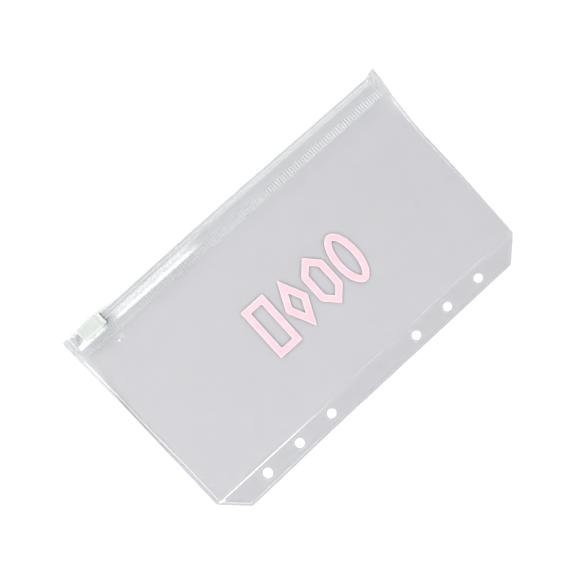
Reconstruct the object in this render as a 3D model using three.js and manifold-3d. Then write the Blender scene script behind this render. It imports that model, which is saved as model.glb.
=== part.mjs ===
import * as THREE from "three";
import { mergeVertices } from "three/addons/utils/BufferGeometryUtils.js";
import Module from "manifold-3d";

// A clear film pocket for a six-ring binder, closed by a press-together zip with a slider.
// It lies flat on a table: X runs along the zip, Y from the punched strip to the zip, Z up.
// Sizes are in millimetres. Places across the pocket are measured from the line of ring holes.

// Ring holes
const hole_pitch = 19;
const hole_group_gap = 51;
const hole_diameter = 4.4;

// Film outline
const film = 0.2;
const left_reach = 88.95;
const right_reach = 89.1;
const left_lean = 1.25;
const right_pinch = 0.95;
const right_flare = 1.5;
const strip_depth = 5.7;
const chamfer = 10.4;

// Welds between the two sheets
const pocket_weld_at = 5;
const pocket_weld_width = 1.3;
const seam_width = 1.6;
const strip_weld_width = 1.9;
const bead_width = 0.36;
const bead_height = 0.1;

// How the sheets part and rise towards the zip
const pocket_gap = 0.4;
const gap_run = 9;
const rise_run = 26;

// Zip, from its tapes' lower edge to its outer edge
const tape_start = 88.9;
const tape_thickness = 0.3;
const tape_weld_width = 4;
const tape_clear_width = 4;
const track_width = 2.75;
const track_half_thickness = 1.4;
const track_rounding = 0.4;
const track_clearance = 0.05;
const lip_flare = 0.65;
const groove_mouth = 0.8;
const groove_room = 1.3;
const groove_lip = 0.25;
const groove_depth = 0.95;
const head_clearance = 0.12;

// Ridges pressed into the tapes by the weld
const ridge_pitch = 1.37;
const ridge_share = 0.6;
const ridge_height = 0.14;
const ridge_root = 0.05;

// Crushed ends of the zip
const ear_width = 4.8;
const ear_rise = 1.5;
const ear_slope_run = 3.6;
const track_into_ear = 0.6;
const film_to_ear = 0.2;

// Slider
const slider_length = 12.2;
const slider_width = 6.5;
const slider_wall = 1.3;
const slider_roof = 1;
const slider_clearance = 0.2;
const slider_corner = 0.9;
const slider_edge = 0.3;
const slider_end_gap = 1.9;
const collar_length = 1.6;
const collar_step = 0.45;
const finger_length = 6;
const finger_depth = 0.4;
const finger_half_width = 0.4;

// Printed marks on the front
const mark_count = 4;
const mark_left = -25.7;
const mark_bottom = 33;
const mark_width = 12.7;
const mark_height = 26.6;
const mark_space = 2.2;
const mark_stroke = 3.2;
const mark_thickness = 0.08;

// Heights and places that follow from the sizes above
const film_top = tape_start + tape_weld_width;
const track_start = film_top + tape_clear_width;
const track_middle = track_start + track_width / 2;
const zip_edge = track_start + track_width;
const ear_top = zip_edge + ear_rise;
const crush_left = -left_reach + ear_width;
const crush_right = right_reach - ear_width;
const slider_half_height = track_half_thickness + slider_clearance + slider_wall;
const zip_height = slider_half_height;
const tape_inner = pocket_gap / 2 + film;
const tape_outer = tape_inner + tape_thickness;
const crushed_half = film + tape_thickness;
const slider_outer = zip_edge + slider_clearance + slider_roof;
const slider_left = crush_left + slider_end_gap;
const pocket_start = pocket_weld_at + pocket_weld_width / 2 + bead_width;
const rise_start = tape_start - rise_run;
const strip_top = 2 * film;
const marks_base = strip_top + pocket_gap;

const clear_film = new THREE.MeshStandardMaterial({
  color: 0xd9dbde,
  roughness: 0.12,
  metalness: 0,
  transparent: true,
  opacity: 0.35,
});
const clear_track = new THREE.MeshStandardMaterial({
  color: 0xd6dadc,
  roughness: 0.2,
  metalness: 0,
  transparent: true,
  opacity: 0.45,
});
const milky_plastic = new THREE.MeshStandardMaterial({
  color: 0xe8ece8,
  roughness: 0.45,
  metalness: 0,
});
const pink_print = new THREE.MeshStandardMaterial({
  color: 0xf4c2ce,
  roughness: 0.6,
  metalness: 0,
});

const wasm = await Module();
wasm.setup();

// Turns a closed three.js geometry into a solid that can be joined and cut.
function solidOf(geometry) {
  const bare = geometry.clone();
  bare.deleteAttribute("normal");
  bare.deleteAttribute("uv");
  const merged = mergeVertices(bare, 1e-5);
  return new wasm.Manifold(
    new wasm.Mesh({
      numProp: 3,
      vertProperties: merged.attributes.position.array,
      triVerts: new Uint32Array(merged.index.array),
    }),
  );
}

function geometryOf(solid) {
  const mesh = solid.getMesh();
  const geometry = new THREE.BufferGeometry();
  geometry.setAttribute("position", new THREE.BufferAttribute(mesh.vertProperties, 3));
  geometry.setIndex(new THREE.BufferAttribute(mesh.triVerts, 1));
  geometry.computeVertexNormals();
  return geometry;
}

function joined(solids) {
  return solids.reduce((whole, next) => whole.add(next));
}

function outlineShape(points) {
  return new THREE.Shape(points.map(([a, b]) => new THREE.Vector2(a, b)));
}

// A prism over an XY outline, from one height to another.
function upright(shape, low, high) {
  const geometry = new THREE.ExtrudeGeometry(shape, {
    depth: high - low,
    bevelEnabled: false,
    curveSegments: 6,
  });
  return geometry.translate(0, 0, low);
}

const along_x = new THREE.Matrix4().makeBasis(
  new THREE.Vector3(0, 1, 0),
  new THREE.Vector3(0, 0, 1),
  new THREE.Vector3(1, 0, 0),
);

// A YZ section drawn out along X.
function lengthwise(shape, left, right, options = {}) {
  const bevel = options.bevel ?? 0;
  const geometry = new THREE.ExtrudeGeometry(shape, {
    depth: right - left - 2 * bevel,
    bevelEnabled: bevel > 0,
    bevelThickness: bevel,
    bevelSize: bevel,
    bevelOffset: -bevel,
    bevelSegments: 2,
    curveSegments: 4,
  });
  return geometry.translate(0, 0, left + bevel).applyMatrix4(along_x);
}

const along_y = new THREE.Matrix4().makeBasis(
  new THREE.Vector3(1, 0, 0),
  new THREE.Vector3(0, 0, 1),
  new THREE.Vector3(0, -1, 0),
);

// An XZ section drawn out along Y.
function crosswise(shape, near, far) {
  const geometry = new THREE.ExtrudeGeometry(shape, { depth: far - near, bevelEnabled: false });
  return geometry.translate(0, 0, -far).applyMatrix4(along_y);
}

function between(low, high, share) {
  return low + (high - low) * share;
}

function smoothStep(low, high, value) {
  const share = Math.min(1, Math.max(0, (value - low) / (high - low)));
  return share * share * (3 - 2 * share);
}

// The film's side edges. The left one leans out a little towards the zip.
// The right one is pinched in below the zip and flares out to its ear.
function shareAlongSide(y) {
  return Math.min(1, Math.max(0, (y - pocket_weld_at) / (ear_top - pocket_weld_at)));
}

function leftSide(y) {
  return -(left_reach + left_lean * shareAlongSide(y));
}

function rightSide(y) {
  const share = shareAlongSide(y);
  const pinch = right_pinch * smoothStep(0.3, 0.8, share);
  return right_reach - pinch + right_flare * smoothStep(0.8, 1, share);
}

// Height of the face where the two sheets meet.
function meetingHeight(y) {
  return between(film, zip_height, smoothStep(rise_start, tape_start, y));
}

// The sheets part behind the welds, by less near the sides than in the middle.
function partingAt(x, y, seam_left, seam_right) {
  const from_side = Math.min(x - seam_left, seam_right - x);
  const from_weld = y - pocket_start;
  const sides = smoothStep(0, gap_run, from_side);
  return pocket_gap * sides * smoothStep(0, gap_run, from_weld);
}

// Rows of points across the pocket, denser where the sheets part and rise.
function sheetRows() {
  const rows = [-strip_depth, pocket_start];
  for (const share of [0.25, 0.5, 0.75, 1]) rows.push(pocket_start + gap_run * share);
  const steps = 8;
  for (let i = 0; i <= steps; i++) rows.push(between(rise_start, tape_start, i / steps));
  rows.push(film_top);
  return rows;
}

// Columns of points for one row: side edge, weld bead, then the sheets part.
function sheetColumns(y) {
  const near_zip = smoothStep(rise_start, tape_start, y);
  const left = leftSide(y);
  const right = rightSide(y);
  const bead_left = left + seam_width;
  const bead_right = right - seam_width;
  const seam_left = between(bead_left + bead_width, crush_left, near_zip);
  const seam_right = between(bead_right - bead_width, crush_right, near_zip);
  const bead = near_zip < 1 ? bead_height : 0;
  const steps = [0, 0.25, 0.5, 0.75, 1].map((share) => gap_run * share);
  const inner_left = seam_left + gap_run;
  const inner_right = seam_right - gap_run;
  const spans = 6;
  const middle = [];
  for (let i = 1; i < spans; i++) middle.push(between(inner_left, inner_right, i / spans));
  const columns = [
    { x: left, bead: 0 },
    { x: bead_left - bead_width / 2, bead: 0 },
    { x: bead_left, bead },
    { x: bead_left + bead_width / 2, bead: 0 },
    ...steps.map((step) => ({ x: seam_left + step, bead: 0 })),
    ...middle.map((x) => ({ x, bead: 0 })),
    ...steps.reverse().map((step) => ({ x: seam_right - step, bead: 0 })),
    { x: bead_right - bead_width / 2, bead: 0 },
    { x: bead_right, bead },
    { x: bead_right + bead_width / 2, bead: 0 },
    { x: right, bead: 0 },
  ];
  return { columns, seam_left, seam_right };
}

// A closed sheet from a grid of places, each with a lower and an upper height.
function gridSolid(rows) {
  const wide = rows[0].length;
  const positions = [];
  for (const face of ["low", "high"])
    for (const row of rows) for (const place of row) positions.push(place.x, place.y, place[face]);
  const at = (face, i, j) => (face * rows.length + i) * wide + j;
  const index = [];
  const quad = (a, b, c, d) => index.push(a, b, c, a, c, d);
  for (let i = 0; i + 1 < rows.length; i++) {
    for (let j = 0; j + 1 < wide; j++) {
      quad(at(1, i, j), at(1, i, j + 1), at(1, i + 1, j + 1), at(1, i + 1, j));
      index.push(at(0, i, j), at(0, i + 1, j + 1), at(0, i, j + 1));
      index.push(at(0, i, j), at(0, i + 1, j), at(0, i + 1, j + 1));
    }
    quad(at(0, i, 0), at(1, i, 0), at(1, i + 1, 0), at(0, i + 1, 0));
    const end = wide - 1;
    quad(at(0, i + 1, end), at(1, i + 1, end), at(1, i, end), at(0, i, end));
  }
  const last = rows.length - 1;
  for (let j = 0; j + 1 < wide; j++) {
    quad(at(0, 0, j + 1), at(1, 0, j + 1), at(1, 0, j), at(0, 0, j));
    quad(at(0, last, j), at(1, last, j), at(1, last, j + 1), at(0, last, j + 1));
  }
  const geometry = new THREE.BufferGeometry();
  geometry.setAttribute("position", new THREE.Float32BufferAttribute(positions, 3));
  geometry.setIndex(index);
  return solidOf(geometry);
}

// One film sheet as a grid: the back sheet lies on the table, the front sheet lies over it.
function sheetGrid(is_front) {
  return sheetRows().map((y) => {
    const { columns, seam_left, seam_right } = sheetColumns(y);
    const sag = smoothStep(rise_start, tape_start, y) / 2;
    return columns.map(({ x, bead }) => {
      const parting = partingAt(x, y, seam_left, seam_right);
      const meeting = meetingHeight(y);
      if (is_front) {
        const low = meeting + parting * (1 - sag);
        const raised = y < pocket_start ? 0 : bead;
        return { x, y, low, high: low + film + raised };
      }
      const high = meeting - parting * sag;
      return { x, y, low: high - film, high };
    });
  });
}

function holePlaces() {
  const places = [];
  for (const side of [-1, 1])
    for (let i = 0; i < 3; i++) places.push(side * (hole_group_gap / 2 + i * hole_pitch));
  return places;
}

// What the punch takes away: six ring holes and the strip's two corners.
function punchSolid() {
  const low = -film;
  const high = 4 * film;
  const cuts = holePlaces().map((x) => {
    const hole = new THREE.Shape().absarc(x, 0, hole_diameter / 2, 0, 2 * Math.PI);
    return solidOf(upright(hole, low, high));
  });
  for (const [side, edge] of [[-1, leftSide(0)], [1, rightSide(0)]]) {
    const past = edge + side;
    const corner = outlineShape([
      [edge, chamfer - strip_depth],
      [edge - side * chamfer, -strip_depth],
      [edge - side * (chamfer + 1), -strip_depth - 1],
      [past, -strip_depth - 1],
      [past, chamfer - strip_depth + 1],
    ]);
    cuts.push(solidOf(upright(corner, low, high)));
  }
  return joined(cuts);
}

// A raised bead along a line of points, where the weld has pushed the film up.
function beadAlong(points) {
  const half = bead_width / 2;
  const path = points.map(([x, y]) => new THREE.Vector2(x, y));
  const offset = (side) =>
    path.map((point, i) => {
      const before = path[Math.max(0, i - 1)];
      const after = path[Math.min(path.length - 1, i + 1)];
      const into = point.clone().sub(before).normalize();
      const out = after.clone().sub(point).normalize();
      const way = (i === 0 ? out : i === path.length - 1 ? into : into.clone().add(out)).normalize();
      const across = new THREE.Vector2(-way.y, way.x);
      const turn = i === 0 || i === path.length - 1 ? 1 : Math.abs(way.dot(out));
      return point.clone().addScaledVector(across, (side * half) / turn);
    });
  const shape = new THREE.Shape([...offset(1), ...offset(-1).reverse()]);
  return solidOf(upright(shape, strip_top - film / 2, strip_top + bead_height));
}

// Beads on the flat strip: two along the pocket's weld and one inside the strip's cut edge.
function stripBeads() {
  const left = leftSide(0) + seam_width;
  const right = rightSide(0) - seam_width;
  const beads = [-1, 1].map((side) => {
    const y = pocket_weld_at + (side * pocket_weld_width) / 2;
    return beadAlong([
      [left, y],
      [right, y],
    ]);
  });
  const inset = strip_weld_width;
  const diagonal = strip_weld_width * Math.tan(Math.PI / 8);
  const corner_y = chamfer - strip_depth;
  const start_y = Math.max(corner_y, pocket_weld_at - pocket_weld_width / 2);
  beads.push(
    beadAlong([
      [leftSide(0) + inset, start_y],
      [leftSide(0) + inset, corner_y + diagonal],
      [leftSide(0) + chamfer + diagonal, inset - strip_depth],
      [rightSide(0) - chamfer - diagonal, inset - strip_depth],
      [rightSide(0) - inset, corner_y + diagonal],
      [rightSide(0) - inset, start_y],
    ]),
  );
  return beads;
}

function filmSheets() {
  const punch = punchSolid();
  const front = joined([gridSolid(sheetGrid(true)), ...stripBeads()]).subtract(punch);
  const back = gridSolid(sheetGrid(false)).subtract(punch);
  return { front, back };
}

// The plan of one crushed end of the zip, with the ear that stops the slider.
function earPlan(side) {
  const edgeAt = side < 0 ? leftSide : rightSide;
  const crush = side < 0 ? crush_left : crush_right;
  const tip = crush + side * ear_slope_run;
  const outline = [
    [crush, tape_start],
    [crush, zip_edge],
    [tip, ear_top],
    [edgeAt(ear_top), ear_top],
    [edgeAt(zip_edge), zip_edge],
    [edgeAt(film_top), film_top],
    [edgeAt(tape_start), tape_start],
  ];
  return outlineShape(outline);
}

// Half of a crushed end: over the film where there is film, and down to the meeting face past it.
function crushedEnd(side, half) {
  const plan = solidOf(upright(earPlan(side), zip_height - crushed_half, zip_height + crushed_half));
  const past_film = film_top + film_to_ear;
  const section = outlineShape([
    [tape_start, zip_height + half * film],
    [past_film, zip_height + half * film],
    [past_film, zip_height],
    [ear_top, zip_height],
    [ear_top, zip_height + half * crushed_half],
    [tape_start, zip_height + half * crushed_half],
  ]);
  const band = solidOf(lengthwise(section, leftSide(ear_top) - 1, rightSide(ear_top) + 1));
  return plan.intersect(band);
}

// The tape and the outside of the track, for the half above (1) or below (-1) the meeting face.
function trackOutside(half) {
  const at = (y, height) => [y, zip_height + half * height];
  return {
    tape: [at(track_start, tape_inner), at(tape_start, tape_inner), at(tape_start, tape_outer)],
    outside: [
      at(track_start, tape_outer),
      at(track_start, track_half_thickness - track_rounding),
      at(track_start + track_rounding, track_half_thickness),
      at(zip_edge - track_rounding, track_half_thickness),
      at(zip_edge, track_half_thickness - track_rounding),
      at(zip_edge, track_clearance + lip_flare),
      at(zip_edge - lip_flare, track_clearance),
    ],
    inside: at(track_start, track_clearance),
  };
}

// The front half of the zip has the groove.
function grooveSection() {
  const { tape, outside, inside } = trackOutside(1);
  const at = (across, height) => [track_middle + across, zip_height + height];
  const mouth = groove_mouth / 2;
  const room = groove_room / 2;
  return outlineShape([
    ...tape,
    ...outside,
    at(mouth, track_clearance),
    at(mouth, groove_lip),
    at(room, groove_lip),
    at(room, groove_depth),
    at(-room, groove_depth),
    at(-room, groove_lip),
    at(-mouth, groove_lip),
    at(-mouth, track_clearance),
    inside,
  ]);
}

// The back half has the rib whose head snaps into the groove.
function ribSection() {
  const stem = groove_mouth / 2 - head_clearance;
  const head = groove_room / 2 - head_clearance;
  const low = groove_lip + head_clearance;
  const high = groove_depth - head_clearance;
  const at = (across, height) => [track_middle + across, zip_height + height];
  return outlineShape([
    at(-stem, -2 * track_clearance),
    at(stem, -2 * track_clearance),
    at(stem, low),
    at(head, low),
    at(stem, high),
    at(-stem, high),
    at(-head, low),
    at(-stem, low),
  ]);
}

// Ridges across the tape, side by side along the whole weld.
function ridgeStrip(half) {
  const length = crush_right - crush_left;
  const count = Math.floor(length / ridge_pitch);
  const first = (crush_left + crush_right - count * ridge_pitch) / 2;
  const at = (x, height) => [x, zip_height + half * (tape_outer + height)];
  const points = [at(first, -tape_thickness / 2)];
  for (let i = 0; i < count; i++) {
    const start = first + i * ridge_pitch;
    const flank = (ridge_pitch * ridge_share) / 2;
    points.push(at(start, ridge_root));
    points.push(at(start + flank, ridge_root + ridge_height));
    points.push(at(start + 2 * flank, ridge_root));
  }
  const last = first + count * ridge_pitch;
  points.push(at(last, ridge_root));
  points.push(at(last, -tape_thickness / 2));
  return solidOf(crosswise(outlineShape(points), tape_start, film_top));
}

function zipHalf(half) {
  const left = crush_left - track_into_ear;
  const right = crush_right + track_into_ear;
  const pieces = [crushedEnd(-1, half), crushedEnd(1, half), ridgeStrip(half)];
  if (half > 0) {
    pieces.push(solidOf(lengthwise(grooveSection(), left, right)));
  } else {
    const { tape, outside, inside } = trackOutside(half);
    pieces.push(solidOf(lengthwise(outlineShape([...tape, ...outside, inside]), left, right)));
    const rib_left = crush_left + head_clearance;
    const rib_right = crush_right - head_clearance;
    pieces.push(solidOf(lengthwise(ribSection(), rib_left, rib_right)));
  }
  return joined(pieces);
}

// A rounded YZ block around the track, smaller all round by inset.
function sliderBlock(inset, left, right) {
  const near = slider_outer - slider_width + inset;
  const far = slider_outer - inset;
  const half = slider_half_height - inset;
  const corner = slider_corner;
  const shape = new THREE.Shape();
  shape.moveTo(near + corner, zip_height - half);
  shape.lineTo(far - corner, zip_height - half);
  shape.quadraticCurveTo(far, zip_height - half, far, zip_height - half + corner);
  shape.lineTo(far, zip_height + half - corner);
  shape.quadraticCurveTo(far, zip_height + half, far - corner, zip_height + half);
  shape.lineTo(near + corner, zip_height + half);
  shape.quadraticCurveTo(near, zip_height + half, near, zip_height + half - corner);
  shape.lineTo(near, zip_height - half + corner);
  shape.quadraticCurveTo(near, zip_height - half, near + corner, zip_height - half);
  return solidOf(lengthwise(shape, left, right, { bevel: slider_edge }));
}

// A moulded clip that wraps the track, with lips behind it and a finger between its edges.
function sliderSolid() {
  const right = slider_left + slider_length;
  const shoulder = right - collar_length;
  const body = sliderBlock(0, slider_left, shoulder);
  const collar = sliderBlock(collar_step, shoulder - 2 * slider_edge, right);
  const track_half = track_half_thickness + slider_clearance;
  const tape_half = tape_outer + slider_clearance;
  const channel = outlineShape([
    [slider_outer - slider_width - 1, zip_height - tape_half],
    [track_start - slider_clearance, zip_height - tape_half],
    [track_start - slider_clearance, zip_height - track_half],
    [zip_edge + slider_clearance, zip_height - track_half],
    [zip_edge + slider_clearance, zip_height + track_half],
    [track_start - slider_clearance, zip_height + track_half],
    [track_start - slider_clearance, zip_height + tape_half],
    [slider_outer - slider_width - 1, zip_height + tape_half],
  ]);
  const opening = solidOf(lengthwise(channel, slider_left - 1, right + 1));
  const finger_tip = zip_edge - finger_depth;
  const finger_root = zip_edge + slider_clearance + slider_roof / 2;
  const finger = outlineShape([
    [finger_tip, zip_height - finger_half_width / 3],
    [finger_root, zip_height - finger_half_width],
    [finger_root, zip_height + finger_half_width],
    [finger_tip, zip_height + finger_half_width / 3],
  ]);
  const finger_left = slider_left + 2 * slider_edge;
  const finger_solid = solidOf(lengthwise(finger, finger_left, finger_left + finger_length));
  return body.add(collar).subtract(opening).add(finger_solid);
}

// Outlines of the four marks, around their own middle, anticlockwise and convex.
function markOutlines() {
  const wide = mark_width / 2;
  const high = mark_height / 2;
  const upright_frame = [
    [wide, -high],
    [wide, high],
    [-wide, high],
    [-wide, -high],
  ];
  const diamond = [
    [wide, 0],
    [0, high],
    [-wide, 0],
    [0, -high],
  ];
  const hexagon = [
    [wide, -high / 2],
    [wide, high / 2],
    [0, high],
    [-wide, high / 2],
    [-wide, -high / 2],
    [0, -high],
  ];
  const oval = [];
  const steps = 32;
  for (let i = 0; i < steps; i++) {
    const turn = (2 * Math.PI * i) / steps;
    oval.push([wide * Math.cos(turn), high * Math.sin(turn)]);
  }
  return { upright_frame, diamond, hexagon, oval };
}

// Moves each side of a convex outline inwards and meets it again with its neighbours.
function insetOutline(outline, inset) {
  const sides = outline.map(([x, y], i) => {
    const [next_x, next_y] = outline[(i + 1) % outline.length];
    const long = Math.hypot(next_x - x, next_y - y);
    const normal = [-(next_y - y) / long, (next_x - x) / long];
    return { normal, reach: normal[0] * x + normal[1] * y + inset };
  });
  return sides.map((side, i) => {
    const before = sides[(i + sides.length - 1) % sides.length];
    const [a, b] = before.normal;
    const [c, d] = side.normal;
    const cross = a * d - b * c;
    return [
      (before.reach * d - side.reach * b) / cross,
      (a * side.reach - c * before.reach) / cross,
    ];
  });
}

function markGeometry(outline) {
  const shape = outlineShape(outline);
  shape.holes.push(outlineShape(insetOutline(outline, mark_stroke)));
  return upright(shape, 0, mark_thickness);
}

const pouch = new THREE.Group();
const outermost = Math.max(slider_outer, ear_top);
pouch.position.x = -(leftSide(ear_top) + rightSide(ear_top)) / 2;
pouch.position.y = (strip_depth - outermost) / 2;

function addPiece(name, geometry, material, place = [0, 0, 0]) {
  const piece = new THREE.Mesh(geometry, material);
  piece.name = name;
  piece.position.set(...place);
  pouch.add(piece);
}

const sheets = filmSheets();
addPiece("front_sheet", geometryOf(sheets.front), clear_film);
addPiece("back_sheet", geometryOf(sheets.back), clear_film);
addPiece("zip_track_front", geometryOf(zipHalf(1)), clear_track);
addPiece("zip_track_back", geometryOf(zipHalf(-1)), clear_track);
addPiece("slider", geometryOf(sliderSolid()), milky_plastic);

const outlines = markOutlines();
["upright_frame", "diamond", "hexagon", "oval"].slice(0, mark_count).forEach((kind, i) => {
  const x = mark_left + mark_width / 2 + i * (mark_width + mark_space);
  const y = mark_bottom + mark_height / 2;
  addPiece("print_" + kind, markGeometry(outlines[kind]), pink_print, [x, y, marks_base]);
});

export default pouch;
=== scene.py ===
import math

import bpy
import numpy as np
from mathutils import Matrix, Vector
from mathutils.geometry import delaunay_2d_cdt
from mathutils.kdtree import KDTree


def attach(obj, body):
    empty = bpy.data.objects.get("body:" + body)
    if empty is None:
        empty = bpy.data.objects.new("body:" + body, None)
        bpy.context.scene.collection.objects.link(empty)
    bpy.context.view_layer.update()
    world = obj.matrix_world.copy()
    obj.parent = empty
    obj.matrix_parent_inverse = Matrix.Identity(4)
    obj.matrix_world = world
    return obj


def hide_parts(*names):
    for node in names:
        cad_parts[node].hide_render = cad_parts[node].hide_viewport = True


# A clear film pocket with a zip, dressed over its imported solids.
# Sizes are in millimetres from the line of ring holes, as in the part's own source,
# and each mesh is turned into metres in the shared frame when it is made.
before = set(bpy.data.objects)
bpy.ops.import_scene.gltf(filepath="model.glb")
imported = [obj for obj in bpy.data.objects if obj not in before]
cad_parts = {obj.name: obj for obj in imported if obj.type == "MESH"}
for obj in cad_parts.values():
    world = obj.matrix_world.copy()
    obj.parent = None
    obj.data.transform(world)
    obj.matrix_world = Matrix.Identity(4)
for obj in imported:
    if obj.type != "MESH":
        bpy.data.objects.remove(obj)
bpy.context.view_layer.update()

MM = 0.001
SHIFT_X, SHIFT_Y = 0.275, -47.725

# Sizes repeated from the part
HOLE_PITCH = 19
HOLE_GROUP_GAP = 51
HOLE_RADIUS = 2.15
FILM = 0.2
LEFT_REACH, LEFT_LEAN = 88.95, 1.25
RIGHT_REACH, RIGHT_PINCH, RIGHT_FLARE = 89.1, 0.95, 1.5
STRIP_DEPTH = 5.7
CHAMFER = 10.4
WELD_AT = 5
WELD_WIDTH = 1.3
SEAM_WIDTH = 1.6
BEAD_WIDTH = 0.36
BEAD_HEIGHT = 0.1
POCKET_GAP = 0.4
GAP_RUN = 9
ZIP_HEIGHT = 2.9
TAPE_START = 88.9
RISE_START = 62.9
FILM_TOP = 92.9
TRACK_START = 96.9
TRACK_MIDDLE = 98.275
ZIP_EDGE = 99.65
EAR_TOP = 101.15
TAPE_INNER, TAPE_OUTER = 0.4, 0.7
CRUSHED_HALF = 0.5
CRUSH_LEFT, CRUSH_RIGHT = -84.15, 84.3
EAR_SLOPE_RUN = 3.6
EAR_WIDTH = 5.7
RIDGE_PITCH = 1.37
RIDGE_SHARE = 0.6
RIDGE_HEIGHT = 0.14
RIDGE_ROOT = 0.05
SLIDER_LEFT, SLIDER_LENGTH = -82.25, 12.2
SLIDER_NEAR, SLIDER_FAR = 94.35, 100.85
COLLAR_LENGTH, COLLAR_STEP = 1.6, 0.45
MARK_LEFT, MARK_BOTTOM = -25.7, 33
MARK_WIDTH, MARK_HEIGHT, MARK_SPACE = 12.7, 26.6, 2.2
MARK_STROKE, MARK_THICKNESS = 3.2, 0.08

# The thinnest air left between two faces that touch on the real thing
AIR = 0.02

# The zip bows a little towards the pocket at its ends: by how much, about where, and over what length
ZIP_BOW, ZIP_BOW_BACK, ZIP_BOW_MIDDLE, ZIP_BOW_SPAN = 0.6, 0.36, -4, 170
EAR_BOW_BACK, EAR_BOW_RISE = 0.4, 0.3

# How whitened the film's marks are, partly by weld whitening and partly by painted highlights, and how
# dark, each as places along a line and the values there
SEAM_INSET_LEFT = ((5, 25, 55, 80), (2.0, 1.95, 1.15, 1.4))
SEAM_INSET_RIGHT = 1.2
SEAM_MARK_WIDTH = ((5, 45, 60), (0.5, 0.55, 0.5))
SEAM_WHITE_LEFT = ((5, 25, 55, 70, 80, 87, 90), (0.45, 0.5, 0.5, 0.7, 0.85, 0.8, 0.15))
SEAM_WHITE_RIGHT = ((5, 25, 55, 70, 84, 88), (0.1, 0.13, 0.38, 0.45, 0.6, 0.0))
BAR_WHITE = ((-86, -50, 5, 60), (0.28, 0.33, 0.5, 0.8))
WELD_LINE, UPPER_WELD_LINE, LOWER_WELD_LINE = 4.4, 5.5, 3.4
WELD_CORNER = (-86.3, 4.1)

# Highlights painted white on the zip's bare flange: the X over which each fades in, and over which it
# fades out
STREAK_IN, STREAK_OUT = (-70, -62), (-30, -15)
PATCH_IN, PATCH_OUT = (-87.0, -85.8), (-74, -70)
EAR_PATCH_IN, EAR_PATCH_OUT = (-86.9, -86.1), (-83.5, -83)

# The film beside the slider that is meshed finely for its pinches: lowest X and Y, highest X and Y
PINCHED_BOX = (-84, 70, -55, 88)
# Places by the slider where the film is pinched: x, y, radius and depth
DIMPLES = [
    (-71.2, 86.0, 1.5, 0.22),
    (-71.2, 77.8, 2.0, 0.16),
    (-66.0, 82.5, 2.6, -0.14),
    (-74.2, 80.7, 2.2, -0.12),
]
# Small highlights painted white on the pinched film: x, y, radius and strength
PAINTED_GLINTS = [(-71.7, 85.7, 0.5, 0.85), (-69.2, 86.3, 1.5, 0.12)]


def smooth_step(low, high, value):
    share = np.clip((np.asarray(value, float) - low) / (high - low), 0, 1)
    return share * share * (3 - 2 * share)


def between(low, high, share):
    return low + (high - low) * share


def hump(value, middle, half_width):
    """1 at the middle, and 0 from half_width on."""
    share = np.clip(np.abs(np.asarray(value, float) - middle) / half_width, 0, 1)
    return (1 - share * share) ** 2


def shows(value, fade_in, fade_out):
    """1 between two fades, and 0 outside them."""
    return smooth_step(*fade_in, value) * (1 - smooth_step(*fade_out, value))


def share_along_side(y):
    return np.clip((np.asarray(y, float) - WELD_AT) / (EAR_TOP - WELD_AT), 0, 1)


def left_side(y):
    return -(LEFT_REACH + LEFT_LEAN * share_along_side(y))


def right_side(y):
    share = share_along_side(y)
    pinch = RIGHT_PINCH * smooth_step(0.3, 0.8, share)
    return RIGHT_REACH - pinch + RIGHT_FLARE * smooth_step(0.8, 1, share)


def waves(x, y, seed, scales):
    """Smooth waviness from a few sines of set directions, from about -1 to 1."""
    draw = np.random.default_rng(seed)
    total = np.zeros_like(np.asarray(x, float))
    for scale in scales:
        turn, shift = draw.uniform(0, 2 * math.pi, 2)
        along = x * math.cos(turn) + y * math.sin(turn)
        total = total + np.sin(2 * math.pi * along / scale + shift)
    return total / len(scales)


def leaning(points):
    """The punched strip is cut a little askew, so its edge leans away from the line of the holes."""
    low = 1 - smooth_step(-3.2, 2.5, points[:, 1])
    x = points[:, 0]
    lean = -0.8 * smooth_step(-15, -85, x) + 0.1 + 0.14 * smooth_step(30, 75, x)
    points[:, 1] += lean * low
    points[:, 0] += 0.7 * smooth_step(-70, -80, x) * low
    return points


def mesh_piece(name, points, faces, material, values=(), sharp=None):
    """A mesh object from points in millimetres. values has a number per point for each name."""
    points = np.asarray(points, float).copy()
    points[:, 0] += SHIFT_X
    points[:, 1] += SHIFT_Y
    mesh = bpy.data.meshes.new(name)
    mesh.from_pydata((points * MM).tolist(), [], faces)
    mesh.shade_smooth()
    if sharp is not None:
        mesh.set_sharp_from_angle(angle=math.radians(sharp))
    for key, numbers in dict(values).items():
        attribute = mesh.attributes.new(key, "FLOAT", "POINT")
        attribute.data.foreach_set("value", np.asarray(numbers, np.float32))
    mesh.materials.append(material)
    piece = bpy.data.objects.new(name, mesh)
    bpy.context.scene.collection.objects.link(piece)
    return piece


# Camera, fitted to the photograph's ring holes and corners
def rotation_of(turn):
    """The matrix of a rotation vector."""
    turn = Vector(turn)
    return Matrix.Rotation(turn.length, 4, turn.normalized())


IMAGE_SIDE = 576
FOCAL_PIXELS = 600
SENSOR = 36.0
camera_data = bpy.data.cameras.new("camera")
camera_data.sensor_width = SENSOR
camera_data.lens = SENSOR * FOCAL_PIXELS / IMAGE_SIDE
camera_data.clip_start = 0.01
camera = bpy.data.objects.new("camera", camera_data)
bpy.context.scene.collection.objects.link(camera)
view = Matrix.Translation((0.00601, -0.00285, -0.2642)) @ rotation_of((0.00537, 0.05817, 0.73327))
camera.matrix_world = view.inverted()
bpy.context.scene.camera = camera


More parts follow.
